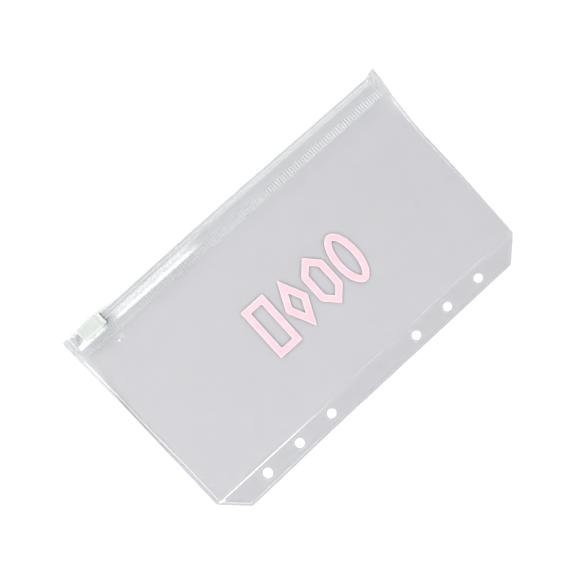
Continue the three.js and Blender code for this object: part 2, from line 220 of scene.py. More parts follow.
# Node materials
class Surface:
    """A material that is built node by node."""

    def __init__(self, name):
        self.material = bpy.data.materials.new(name)
        self.material.use_nodes = True
        self.tree = self.material.node_tree
        self.tree.nodes.clear()

    def add(self, kind, inputs=(), output=0, **settings):
        node = self.tree.nodes.new(kind)
        for key, value in settings.items():
            setattr(node, key, value)
        for key, value in dict(inputs).items():
            if isinstance(value, bpy.types.NodeSocket):
                self.tree.links.new(value, node.inputs[key])
            else:
                node.inputs[key].default_value = value
        return node.outputs[output]

    def math(self, operation, a, b, c=0.0, clamp=False):
        inputs = {0: a, 1: b, 2: c}
        return self.add("ShaderNodeMath", inputs, operation=operation, use_clamp=clamp)

    def spread(self, value, low, high, to_low, to_high):
        inputs = {"Value": value, 1: low, 2: high, 3: to_low, 4: to_high}
        return self.add("ShaderNodeMapRange", inputs)

    def place(self, stretch=(1, 1, 1)):
        """Object coordinates in millimetres, stretched."""
        scale = [factor / MM for factor in stretch]
        coordinates = self.add("ShaderNodeTexCoord", output=3)
        return self.add("ShaderNodeMapping", {"Vector": coordinates, "Scale": scale})

    def noise(self, size, detail=2.0, stretch=(1, 1, 1), roughness=0.5):
        """Noise whose blobs are about size millimetres wide."""
        inputs = {
            "Vector": self.place(stretch),
            "Scale": 1 / size,
            "Detail": detail,
            "Roughness": roughness,
        }
        return self.add("ShaderNodeTexNoise", inputs)

    def value(self, name):
        return self.add("ShaderNodeAttribute", output=2, attribute_name=name)

    def colour(self, share, first, second):
        inputs = {0: share, 6: first, 7: second}
        return self.add("ShaderNodeMix", inputs, output=2, data_type="RGBA")

    def blend(self, share, first, second):
        return self.add("ShaderNodeMixShader", {0: share, 1: first, 2: second})

    def bump(self, height, strength, depth):
        """Bumps up to depth millimetres deep."""
        inputs = {"Height": height, "Strength": strength, "Distance": depth * MM}
        return self.add("ShaderNodeBump", inputs)

    def finish(self, shader):
        output = self.tree.nodes.new("ShaderNodeOutputMaterial")
        self.tree.links.new(shader, output.inputs["Surface"])
        return self.material


def clear_material(name, tint, rim_tint, veil_colour, haze, gloss_roughness):
    """Clear soft film: tinted light passes straight through, weld whitening and painted highlights
    scatter it, and the glossy skin mirrors the lights by the angle. Numbers on the mesh: how white
    (whitening and painted highlights), how dark (rim, partly painted shade), and how far a face is melted
    into its neighbour and so unseen (joined)."""
    surface = Surface(name)
    crumbs = surface.noise(0.9, 3)
    clouds = surface.noise(26, 2)
    # White share from the mesh, weld whitening and painted highlights, broken up by fine noise
    whitening_and_highlight = surface.math("MULTIPLY", surface.value("whitening_and_highlight"), surface.spread(crumbs, 0.3, 0.7, 0.6, 1.3))
    veil = surface.math("ADD", whitening_and_highlight, surface.spread(clouds, 0.35, 0.7, *haze), clamp=True)
    joined = surface.value("joined")
    tinted = surface.colour(surface.value("rim"), tint, rim_tint)
    tinted = surface.colour(joined, tinted, (1, 1, 1, 1))
    through = surface.add("ShaderNodeBsdfTransparent", {"Color": tinted})
    scatter = surface.add("ShaderNodeBsdfDiffuse", {"Color": veil_colour})
    body = surface.blend(veil, through, scatter)
    facing = surface.add("ShaderNodeLayerWeight", {"Blend": 0.5}, output=1)
    mirrored = surface.math("MULTIPLY_ADD", surface.math("POWER", facing, 5.0), 0.96, 0.04)
    mirrored = surface.math("MULTIPLY", mirrored, surface.math("SUBTRACT", 1.0, joined))
    ripples = surface.noise(5, 2)
    bump = surface.bump(ripples, 0.35, 0.04)
    scuffs = surface.noise(2.5, 4, (1, 2.2, 1))
    roughness = surface.spread(scuffs, 0.35, 0.75, *gloss_roughness)
    skin = {"Color": (1, 1, 1, 1), "Roughness": roughness, "Normal": bump}
    gloss = surface.add("ShaderNodeBsdfGlossy", skin)
    return surface.finish(surface.blend(mirrored, body, gloss))


film_material = clear_material(
    "clear_film",
    tint=(0.9418, 0.9416, 0.9468, 1),
    rim_tint=(0.926, 0.927, 0.932, 1),
    veil_colour=(0.95, 0.955, 0.96, 1),
    haze=(0.0, 0.012),
    gloss_roughness=(0.07, 0.16),
)
track_material = clear_material(
    "clear_zip_profile",
    tint=(0.958, 0.960, 0.963, 1),
    rim_tint=(0.86, 0.868, 0.875, 1),
    veil_colour=(0.93, 0.955, 0.95, 1),
    haze=(0.0, 0.02),
    gloss_roughness=(0.06, 0.14),
)


def slider_plastic():
    surface = Surface("slider_plastic")
    blotches = surface.noise(2.4, 3)
    grain = surface.noise(0.35, 3)
    share = surface.spread(blotches, 0.3, 0.7, 0, 1)
    body = surface.colour(share, (0.60, 0.645, 0.62, 1), (0.645, 0.68, 0.64, 1))
    # Lighter where the mesh's pale number is high, partly painted light over the ends' and collar's shade
    colour = surface.colour(surface.value("pale"), body, (0.80, 0.81, 0.81, 1))
    bump = surface.bump(grain, 0.25, 0.05)
    roughness = surface.spread(blotches, 0.3, 0.7, 0.3, 0.45)
    return surface.finish(surface.add("ShaderNodeBsdfPrincipled", {
        "Base Color": colour,
        "Roughness": roughness,
        "Normal": bump,
        "IOR": 1.49,
        "Subsurface Weight": 0.25,
        "Subsurface Radius": (1.0, 1.0, 0.9),
        "Subsurface Scale": 0.0008,
    }))


def pink_print():
    surface = Surface("pink_print")
    ink = surface.noise(1.1, 4)
    patches = surface.noise(7, 2)
    share = surface.spread(ink, 0.3, 0.7, 0, 1)
    deep = surface.colour(share, (0.88, 0.53, 0.60, 1), (0.90, 0.60, 0.66, 1))
    faded = surface.spread(patches, 0.35, 0.7, 0, 0.5)
    uneven = surface.colour(faded, deep, (0.91, 0.66, 0.71, 1))
    colour = surface.colour(surface.value("pale"), uneven, (0.93, 0.80, 0.84, 1))
    bump = surface.bump(ink, 0.2, 0.03)
    return surface.finish(surface.add("ShaderNodeBsdfPrincipled", {
        "Base Color": colour,
        "Roughness": surface.spread(patches, 0.3, 0.7, 0.45, 0.6),
        "Normal": bump,
        "IOR": 1.45,
    }))


def pale_floor():
    surface = Surface("pale_floor")
    paper = surface.noise(30, 3)
    share = surface.spread(paper, 0.3, 0.7, 0, 1)
    colour = surface.colour(share, (0.945, 0.945, 0.945, 1), (0.955, 0.955, 0.955, 1))
    return surface.finish(surface.add("ShaderNodeBsdfPrincipled", {
        "Base Color": colour,
        "Roughness": 0.9,
        "Specular IOR Level": 0.1,
    }))


slider_material = slider_plastic()
print_material = pink_print()
floor_material = pale_floor()


# Floor and light
FLOOR_HALF = 3000
FLOOR_DROP = 0.02
floor_corners = [(a * FLOOR_HALF, b * FLOOR_HALF, 0) for a, b in ((-1, -1), (1, -1), (1, 1), (-1, 1))]
floor = mesh_piece("floor", floor_corners, [(0, 1, 2, 3)], floor_material)
floor.location.z = -FLOOR_DROP * MM


def softbox(name, azimuth, elevation, distance, width, height, radiance):
    """An area light that faces the middle of the part. Azimuth runs from +X towards +Y."""
    data = bpy.data.lights.new(name, "AREA")
    data.shape = "RECTANGLE"
    data.size = width
    data.size_y = height
    data.energy = radiance * math.pi * width * height
    light = bpy.data.objects.new(name, data)
    bpy.context.scene.collection.objects.link(light)
    a, e = math.radians(azimuth), math.radians(elevation)
    place = Vector((math.cos(a) * math.cos(e), math.sin(a) * math.cos(e), math.sin(e))) * distance
    light.location = place
    light.rotation_euler = (-place).to_track_quat("-Z", "Y").to_euler()


# Azimuth and elevation in degrees, then distance, width and height in metres, and radiance
LIGHTS = {
    "key": (200, 42, 1.5, 1.1, 0.8, 2.7),
    "right_fill": (8, 30, 1.5, 1.2, 0.6, 1.7),
    "zip_side": (105, 36, 1.4, 1.6, 0.45, 3.6),
    "far_side": (-40, 40, 1.6, 1.0, 0.6, 2.8),
}
for name, setting in LIGHTS.items():
    softbox(name, *setting)

# The room grows brighter towards one side: by how far a direction points to it, and the light there
BRIGHT_SIDE = (-0.55, -0.45, 0.55)
ROOM_SPREAD = (0.35, 0.95, 0.5, 1.0)
world = bpy.data.worlds.new("studio")
world.use_nodes = True
nodes, links = world.node_tree.nodes, world.node_tree.links
coordinates = nodes.new("ShaderNodeTexCoord")
dot = nodes.new("ShaderNodeVectorMath")
dot.operation = "DOT_PRODUCT"
dot.inputs[1].default_value = BRIGHT_SIDE
spread = nodes.new("ShaderNodeMapRange")
for i, number in enumerate(ROOM_SPREAD, 1):
    spread.inputs[i].default_value = number
links.new(coordinates.outputs["Generated"], dot.inputs[0])
links.new(dot.outputs["Value"], spread.inputs[0])
links.new(spread.outputs[0], nodes["Background"].inputs["Color"])
bpy.context.scene.world = world

scene = bpy.context.scene
scene.view_settings.view_transform = "Standard"
# A ray may cross two sheets and two tapes on its way down, and again towards a light
scene.cycles.transparent_max_bounces = 48


# Film sheets
HOLES = [(side * (HOLE_GROUP_GAP / 2 + i * HOLE_PITCH), 0.0) for side in (-1, 1) for i in range(3)]


def inset_of(x, y):
    """How far a place is inside the film's cut edge, along the strip and the sides."""
    left, right = left_side(0.0), right_side(0.0)
    corner_left = ((x - left) + (y + STRIP_DEPTH) - CHAMFER) / math.sqrt(2)
    corner_right = ((right - x) + (y + STRIP_DEPTH) - CHAMFER) / math.sqrt(2)
    sides = np.minimum(x - left_side(y), right_side(y) - x)
    return np.minimum.reduce([sides, y + STRIP_DEPTH, corner_left, corner_right])


def rounded_path(corners, reach, steps=5):
    """The path through the corners, each inner one replaced by a short curve."""
    points = [corners[0]]
    for before, corner, after in zip(corners, corners[1:], corners[2:]):
        into = (before - corner) / np.linalg.norm(before - corner)
        out = (after - corner) / np.linalg.norm(after - corner)
        for t in np.linspace(0, 1, steps):
            start, end = corner + into * reach, corner + out * reach
            points.append((1 - t) ** 2 * start + 2 * t * (1 - t) * corner + t * t * end)
    points.append(corners[-1])
    return points


def resampled(points, spacing):
    """The path with more points, none of its parts longer than spacing."""
    result = [points[0]]
    for start, end in zip(points, points[1:]):
        count = max(1, math.ceil(np.linalg.norm(end - start) / spacing))
        result += [between(start, end, i / count) for i in range(1, count + 1)]
    return result


def border_path(inset, spacing=0.9):
    """A line inside the cut edge: down the left side, round the strip and up the right side."""
    turn = inset * math.tan(math.pi / 8)
    low = -STRIP_DEPTH + inset
    corner_y = CHAMFER - STRIP_DEPTH + turn
    left, right = float(left_side(0.0)), float(right_side(0.0))
    foot = [
        np.array((left + inset, corner_y + 1.6)),
        np.array((left + inset, corner_y)),
        np.array((left + CHAMFER + turn, low)),
        np.array((right - CHAMFER - turn, low)),
        np.array((right - inset, corner_y)),
        np.array((right - inset, corner_y + 1.6)),
    ]
    foot = rounded_path(foot, max(0.25, 1.1 - inset * 0.5))
    rise = np.arange(corner_y + 1.6 + spacing, FILM_TOP - spacing / 2, spacing)
    rise = np.append(rise, FILM_TOP)
    up_left = [np.array((left_side(y) + inset, y)) for y in rise[::-1]]
    up_right = [np.array((right_side(y) - inset, y)) for y in rise]
    return resampled(up_left + foot + up_right, spacing)


def circle(middle, radius, count):
    turns = np.arange(count) * 2 * math.pi / count
    return [np.array((middle[0] + radius * math.cos(t), middle[1] + radius * math.sin(t))) for t in turns]


class Plan:
    """Points and edges of a flat figure, for one triangulation."""

    def __init__(self):
        self.points = []
        self.edges = []

    def line(self, points, closed=False):
        start = len(self.points)
        self.points += [tuple(map(float, p)) for p in points]
        count = len(points)
        self.edges += [(start + i, start + i + 1) for i in range(count - 1)]
        if closed:
            self.edges.append((start + count - 1, start))

    def fill(self, spacing, box, keep):
        """A staggered grid inside box, clear of every line's points."""
        tree = KDTree(len(self.points))
        for i, (x, y) in enumerate(self.points):
            tree.insert((x, y, 0), i)
        tree.balance()
        rows = np.arange(box[1], box[3], spacing * 0.87)
        for i, y in enumerate(rows):
            for x in np.arange(box[0] + (i % 2) * spacing / 2, box[2], spacing):
                if keep(x, y) and tree.find((x, y, 0))[2] > spacing * 0.55:
                    self.points.append((float(x), float(y)))

    def triangles(self, inside):
        """The figure's points and triangles, without those whose middle isn't inside."""
        points, _, faces, *_ = delaunay_2d_cdt(
            [Vector(p) for p in self.points], self.edges, [], 0, 1e-5
        )
        points = np.array([tuple(p) for p in points])
        faces = np.array([tuple(f) for f in faces])
        middle = points[faces].mean(1)
        faces = faces[inside(middle[:, 0], middle[:, 1])]
        a, b, c = (points[faces[:, i]] for i in range(3))
        area = (b[:, 0] - a[:, 0]) * (c[:, 1] - a[:, 1]) - (b[:, 1] - a[:, 1]) * (c[:, 0] - a[:, 0])
        faces = faces[np.abs(area) > 1e-7]
        area = area[np.abs(area) > 1e-7]
        faces[area < 0] = faces[area < 0][:, ::-1]
        used = np.unique(faces)
        place = np.full(len(points), -1)
        place[used] = np.arange(len(used))
        return points[used], place[faces]


def slab(name, points, triangles, low, high, material, values):
    """A closed sheet over a triangulated figure, with a height below and above at each point."""
    count = len(points)
    points = leaning(points.copy())
    places = np.vstack([np.column_stack([points, low]), np.column_stack([points, high])])
    edges = {}
    for a, b, c in triangles.tolist():
        for edge in ((a, b), (b, c), (c, a)):
            edges[edge] = True
    walls = [(a, b, b + count, a + count) for a, b in edges if (b, a) not in edges]
    faces = triangles[:, ::-1].tolist() + (triangles + count).tolist() + walls
    both = {key: np.concatenate([below, above]) for key, (below, above) in values.items()}
    return mesh_piece(name, places, faces, material, both)


def film_plan(fine):
    """The outline, the weld's lines and the holes' rims. The back sheet needs fewer lines."""
    plan = Plan()
    edge = border_path(0)
    top = resampled([edge[-1], edge[0]], 1.4)[1:-1]
    plan.line(edge + top, closed=True)
    insets = [0.12, 0.3, 0.55]
    if fine:
        insets += [0.8, 1.05, 1.24, 1.42, 1.6, 1.78, 1.96, 2.2, 2.6]
    for inset in insets:
        plan.line(border_path(inset))
    if fine:
        rows = [2.9, 3.1, 3.3, 3.5, 3.7, 3.99, 4.17, 4.35, 4.53, 4.71, 5.0]
        rows += [5.29, 5.47, 5.65, 5.83, 6.01, 6.3, 6.5, 6.7, 6.9, 7.2]
        for y in rows:
            ends = [np.array((left_side(y) + 2.9, y)), np.array((right_side(y) - 2.9, y))]
            plan.line(resampled(ends, 0.9))
    for y in (TAPE_START - 0.05, TAPE_START + 0.05, FILM_TOP - 0.15):
        ends = [np.array((left_side(y) + 0.7, y)), np.array((right_side(y) - 0.7, y))]
        plan.line(resampled(ends, 0.9 if fine else 1.8))
    rings = [HOLE_RADIUS, 2.25, 2.4, 2.6, 2.85] if fine else [HOLE_RADIUS, 2.4]
    for hole in HOLES:
        for radius in rings:
            plan.line(circle(hole, radius, 40), closed=True)

    def open_film(x, y):
        away = min(math.hypot(x - hx, y - hy) for hx, hy in HOLES)
        near_weld = fine and 2.6 < y < 7.5
        return away > rings[-1] + 0.3 and not near_weld and inset_of(x, y) > insets[-1] + 0.5

    def pinched_film(x, y):
        left, low, right, high = PINCHED_BOX
        return left < x < right and low < y < high and inset_of(x, y) > 3

    if fine:
        plan.fill(0.55, PINCHED_BOX, pinched_film)
    plan.fill(2.0, (-91, -6, 91, FILM_TOP - 0.8), open_film)

    def inside(x, y):
        away = np.min([np.hypot(x - hx, y - hy) for hx, hy in HOLES], axis=0)
        return (inset_of(x, y) > -0.02) & (y < FILM_TOP) & (away > HOLE_RADIUS * 0.99)

    return plan.triangles(inside)


def meeting_height(y):
    return between(FILM, ZIP_HEIGHT, smooth_step(RISE_START, TAPE_START, y))


def parting(x, y):
    near_zip = smooth_step(RISE_START, TAPE_START, y)
    seam_left = between(left_side(y) + SEAM_WIDTH + BEAD_WIDTH, CRUSH_LEFT, near_zip)
    seam_right = between(right_side(y) - SEAM_WIDTH - BEAD_WIDTH, CRUSH_RIGHT, near_zip)
    from_side = np.minimum(x - seam_left, seam_right - x)
    from_weld = y - (WELD_AT + WELD_WIDTH / 2 + BEAD_WIDTH)
    return POCKET_GAP * smooth_step(0, GAP_RUN, from_side) * smooth_step(0, GAP_RUN, from_weld)


def slack(x, y):
    """Height that the soft front sheet adds by its own waviness and by the pinches at the slider."""
    calm = smooth_step(2, 14, inset_of(x, y)) * smooth_step(7, 18, y) * (1 - smooth_step(70, 84, y))
    height = 0.05 * waves(x, y, 5, (31, 43, 57, 23)) * calm
    for dx, dy, radius, depth in DIMPLES:
        height = height - depth * np.exp(-((x - dx) ** 2 + (y - dy) ** 2) / (radius * radius))
    return height


def sag_share(y):
    """The back sheet's share of the parting: none on the table, and half at the zip."""
    return smooth_step(RISE_START, TAPE_START, y) / 2


def front_face(x, y):
    """Height of the front sheet's outer face, without its beads."""
    return meeting_height(y) + parting(x, y) * (1 - sag_share(y)) + FILM + slack(x, y)


def rounding(inset):
    """How far the face drops at the rounded cut edge."""
    return 0.07 * (1 - np.clip(inset / 0.3, 0, 1)) ** 2


def cut_rim(inset):
    """How dark the film is painted towards its cut edge: painted shade for the dark line a cut edge
    shows.
    """
    return 0.9 * (1 - smooth_step(0.25, 0.75, inset))


def weld_marks(x, y):
    """How high the weld's beads stand, how white each place is, from weld whitening and painted
    highlights, and how dark, as painted shade at the cut edges.
    """
    inset = inset_of(x, y)
    on_side = smooth_step(WELD_AT - 0.3, WELD_AT + 0.3, y)
    half = BEAD_WIDTH / 2
    left_end = smooth_step(0, 60, -x)
    in_pocket = smooth_step(1.0, 1.6, inset)
    seam = np.where(x < 0, np.interp(y, *SEAM_INSET_LEFT), SEAM_INSET_RIGHT)
    strip_line = between(1.15, 1.65, smooth_step(-45, -20, x))
    beads = BEAD_HEIGHT * on_side * hump(inset, seam, half)
    beads += BEAD_HEIGHT * (1 - on_side) * hump(inset, strip_line, half)
    weld = WELD_WIDTH / 2
    beads = np.maximum(beads, BEAD_HEIGHT * in_pocket * hump(y, WELD_AT - weld, half))
    beads = np.maximum(beads, BEAD_HEIGHT * in_pocket * hump(y, WELD_AT + weld, half))

    # White along the weld lines, the strip's line, the seams and the weld's corners: partly weld
    # whitening and partly painted highlights
    flicker = 0.75 + 0.25 * waves(x, y * 0, 11, (9, 23, 5))
    broken = np.clip(0.6 + 0.9 * waves(x, y * 0, 17, (17, 41, 8)), 0.15, 1.3)
    line = between(0.97, 0.0, smooth_step(-52, -14, x))
    whitening_and_highlight = line * in_pocket * hump(y, WELD_LINE, 0.62)
    second = between(0.22, 0.27, smooth_step(-20, 50, x)) * broken
    whitening_and_highlight = np.maximum(whitening_and_highlight, second * in_pocket * hump(y, UPPER_WELD_LINE, 0.5))
    whitening_and_highlight = np.maximum(whitening_and_highlight, 0.12 * left_end * in_pocket * hump(y, LOWER_WELD_LINE, 0.35))
    along, across = x - WELD_CORNER[0], y - WELD_CORNER[1]
    corner = np.clip(1 - np.hypot(along / 2.4, (across + along * 0.35) / 0.75), 0, 1)
    whitening_and_highlight = np.maximum(whitening_and_highlight, 0.95 * smooth_step(0, 0.5, corner) * smooth_step(0.5, 0.9, inset))
    fan = smooth_step(82.5, 87.5, x) * np.clip((0.5 - np.abs(y - 3.6 - (x - 84) * 0.35)) * 3, 0, 1)
    whitening_and_highlight = np.maximum(whitening_and_highlight, 0.22 * fan)
    seam_white = np.where(x < 0, np.interp(y, *SEAM_WHITE_LEFT), np.interp(y, *SEAM_WHITE_RIGHT))
    whitening_and_highlight = np.maximum(whitening_and_highlight, seam_white * on_side * hump(inset, seam, np.interp(y, *SEAM_MARK_WIDTH)))
    strip = between(0.6, 0.14, smooth_step(-55, -18, x)) * flicker
    whitening_and_highlight = np.maximum(whitening_and_highlight, strip * (1 - on_side) * hump(inset, strip_line, 0.5))
    # A painted highlight round each hole, just outside its cut edge, over a low raised lip
    for i, (hx, hy) in enumerate(HOLES):
        away = np.hypot(x - hx, y - hy)
        turn = np.arctan2(y - hy, x - hx)
        ring = 0.5 + 0.35 * np.sin(3 * turn + i) + 0.2 * np.sin(7 * turn + 2 * i)
        whitening_and_highlight = np.maximum(whitening_and_highlight, 0.45 * np.clip(ring, 0.1, 1) * hump(away, 2.6, 0.35))
        beads = beads + 0.06 * hump(away, 2.5, 0.35)
    # Painted highlights on the pinched film
    for dx, dy, radius, strength in PAINTED_GLINTS:
        whitening_and_highlight = np.maximum(whitening_and_highlight, strength * np.exp(-((x - dx) ** 2 + (y - dy) ** 2) / (radius * radius)))
    # Painted shade: darker at the cut edge and at each hole's edge
    near_hole = np.min([np.hypot(x - hx, y - hy) for hx, hy in HOLES], axis=0)
    rim = np.maximum(cut_rim(inset), 1 - smooth_step(HOLE_RADIUS, HOLE_RADIUS + 0.3, near_hole))
    return beads, whitening_and_highlight, rim


def dulling(y):
    """The strip below the pocket is a touch darker than the pocket."""
    return 0.4 * (1 - smooth_step(3.0, 4.2, y))


def joined_to_tape(y):
    """1 on the face that the zip's tape is melted to."""
    return smooth_step(TAPE_START - 0.05, TAPE_START + 0.05, y)


def top_edge(y):
    """1 on the film's upper edge, which is melted into the tape all round."""
    return (y > FILM_TOP - 0.01) * 1.0


def front_sheet_piece():
    points, triangles = film_plan(True)
    x, y = points[:, 0], points[:, 1]
    beads, whitening_and_highlight, rim = weld_marks(x, y)
    dull, top = dulling(y), top_edge(y)
    high = front_face(x, y) + beads * (y < FILM_TOP - 1) - rounding(inset_of(x, y))
    low = meeting_height(y) + np.maximum(parting(x, y) * (1 - sag_share(y)), AIR / 2) + slack(x, y)
    values = {
        "whitening_and_highlight": (whitening_and_highlight * 0, whitening_and_highlight),
        "rim": (np.maximum(rim * 0.5, dull), np.maximum(rim, dull)),
        "joined": (top, np.maximum(joined_to_tape(y), top)),
    }
    return slab("film_front", points, triangles, low, high, film_material, values)


def back_sheet_piece():
    points, triangles = film_plan(False)
    x, y = points[:, 0], points[:, 1]
    inset = inset_of(x, y)
    rim, dull, top = cut_rim(inset), dulling(y), top_edge(y)
    high = meeting_height(y) - np.maximum(parting(x, y) * sag_share(y), AIR / 2)
    low = high - FILM + AIR / 2 + rounding(inset)
    values = {
        "whitening_and_highlight": (rim * 0, rim * 0),
        "rim": (np.maximum(rim, dull), np.maximum(rim * 0.5, dull)),
        "joined": (np.maximum(joined_to_tape(y), top), top),
    }
    return slab("film_back", points, triangles, low, high, film_material, values)


front_sheet = front_sheet_piece()
back_sheet = back_sheet_piece()


# Zip halves
def ridges(x, y):
    """Height of the bars that the weld has pressed across the tape."""
    along = (x - (CRUSH_LEFT + CRUSH_RIGHT) / 2) / RIDGE_PITCH
    phase = along - np.floor(along)
    bar = hump(phase, RIDGE_SHARE / 2, RIDGE_SHARE / 2)
    ends = shows(y, (TAPE_START, TAPE_START + 0.35), (FILM_TOP - 0.35, FILM_TOP))
    return (RIDGE_ROOT + RIDGE_HEIGHT * bar) * ends, bar * ends


# The zip's section: how far each point is from the track's start, and its height from the middle plane
TAPE_EDGE = [(0.0, 0.5), (0.02, 0.62), (0.1, 0.68), (0.25, 0.7)]
TRACK_OUTSIDE = [
    (-0.2, 0.72), (-0.05, 0.8), (0.0, 0.95), (0.05, 1.15), (0.18, 1.32), (0.4, 1.4), (0.65, 1.36),
    (0.8, 1.3), (0.95, 1.36), (1.2, 1.4), (1.7, 1.4), (2.2, 1.4), (2.45, 1.36), (2.63, 1.25),
    (2.72, 1.1), (2.75, 0.9), (2.75, 0.7),
]
MIDDLE = TRACK_MIDDLE - TRACK_START
GROOVE = [
    (-0.2, 0.4), (-0.02, 0.4), (0.0, 0.2), (0.02, 0.05), (0.5, 0.05),
    (MIDDLE - 0.4, 0.05), (MIDDLE - 0.4, 0.25), (MIDDLE - 0.65, 0.25), (MIDDLE - 0.65, 0.6),
    (MIDDLE - 0.65, 0.95), (MIDDLE, 0.95), (MIDDLE + 0.65, 0.95), (MIDDLE + 0.65, 0.25),
    (MIDDLE + 0.4, 0.25), (MIDDLE + 0.4, 0.05), (2.1, 0.05), (2.5, 0.4),
]
RIB = [
    (-0.2, 0.4), (-0.02, 0.4), (0.0, 0.2), (0.02, 0.05), (0.5, 0.05),
    (MIDDLE - 0.28, 0.05), (MIDDLE - 0.28, -0.37), (MIDDLE - 0.53, -0.37), (MIDDLE - 0.4, -0.6),
    (MIDDLE - 0.28, -0.83), (MIDDLE, -0.83), (MIDDLE + 0.28, -0.83), (MIDDLE + 0.53, -0.37),
    (MIDDLE + 0.28, -0.37), (MIDDLE + 0.28, 0.05), (2.1, 0.05), (2.5, 0.4),
]


def zip_section(inside):
    """The outer and the inner line of a zip half, from the tape's lower edge to the zip's outer edge."""
    tape = [(TAPE_START + away, height) for away, height in TAPE_EDGE]
    tape += [(y, TAPE_OUTER) for y in np.linspace(TAPE_START + 0.4, TRACK_START - 0.35, 19)]
    outer = tape + [(TRACK_START + away, height) for away, height in TRACK_OUTSIDE]
    inner = [(y, TAPE_INNER) for y, _ in tape] + [(TRACK_START + away, height) for away, height in inside]
    return np.array(outer), np.array(inner)


def zip_half(name, half):
    outer, inner = zip_section(GROOVE if half > 0 else RIB)
    section_y = np.concatenate([outer[:, 0], inner[::-1, 0]])
    section_z = np.concatenate([outer[:, 1], inner[::-1, 1]])
    is_outer = np.arange(len(section_y)) < len(outer)
    count = math.ceil((CRUSH_RIGHT - CRUSH_LEFT) * 6 / RIDGE_PITCH)
    ear = np.linspace(0, 1, 20)[1:]
    stations = [("left", s) for s in ear[::-1]]
    stations += [("", x) for x in np.linspace(CRUSH_LEFT, CRUSH_RIGHT, count)]
    stations += [("right", s) for s in ear]
    rows = []
    for where, s in stations:
        past = s * EAR_WIDTH if where else -min(s - CRUSH_LEFT, CRUSH_RIGHT - s)
        crushed = float(smooth_step(-0.7, 0.5, past))
        reach = between(ZIP_EDGE, EAR_TOP, float(smooth_step(-0.15, 1.1, past / EAR_SLOPE_RUN)))
        stretch = np.clip((section_y - FILM_TOP) / (ZIP_EDGE - FILM_TOP), 0, 1)
        bow = -EAR_BOW_BACK + EAR_BOW_RISE * s
        y = section_y + (reach - ZIP_EDGE) * stretch
        if where == "left":
            x = between(CRUSH_LEFT, left_side(y), s)
        elif where == "right":
            x = between(CRUSH_RIGHT, right_side(y), s)
        else:
            x = np.full(len(section_y), s)
            bow = ZIP_BOW * math.cos(math.pi * (s - ZIP_BOW_MIDDLE) / ZIP_BOW_SPAN) ** 2 - ZIP_BOW_BACK
        rib, bar = ridges(x, y)
        normal = section_z + np.where(is_outer & (section_y < TRACK_START - 0.3), rib, 0)
        edge = np.clip((reach - y) / 0.5, 0.1, 1)
        side = np.clip((1 - s) * EAR_WIDTH / 0.5, 0.1, 1) if where else 1.0
        bent = y + bow * smooth_step(FILM_TOP, TRACK_START - 0.4, y)
        lumps = 0.03 * waves(x, y, 3, (2.1, 3.3, 1.4, 2.7))
        flat_outer = FILM + AIR + (CRUSHED_HALF - FILM - 0.05 + lumps) * np.sqrt(np.minimum(edge, side))
        flat_inner = np.where(y < FILM_TOP + 0.2, FILM + AIR, AIR / 2)
        z = between(normal, np.where(is_outer, flat_outer, flat_inner), crushed)
        rows.append((x, bent, ZIP_HEIGHT + half * z, *zip_marks(x, y, is_outer, bar, crushed, half)))
    stacked = [np.array([row[i] for row in rows]) for i in range(6)]
    count, wide = stacked[0].shape
    places = np.column_stack([a.ravel() for a in stacked[:3]])
    faces = []
    for i in range(count - 1):
        for j in range(wide):
            k = (j + 1) % wide
            quad = (i * wide + j, i * wide + k, (i + 1) * wide + k, (i + 1) * wide + j)
            faces.append(quad if half < 0 else quad[::-1])
    for i in (0, count - 1):
        for j in range(len(outer) - 1):
            quad = [i * wide + j, i * wide + j + 1, i * wide + wide - 2 - j, i * wide + wide - 1 - j]
            if (i == 0) == (half > 0):
                quad.reverse()
            faces.append(tuple(quad))
    values = {key: stacked[3 + i].ravel() for i, key in enumerate(("whitening_and_highlight", "rim", "joined"))}
    return mesh_piece(name, places, faces, track_material, values, sharp=40)


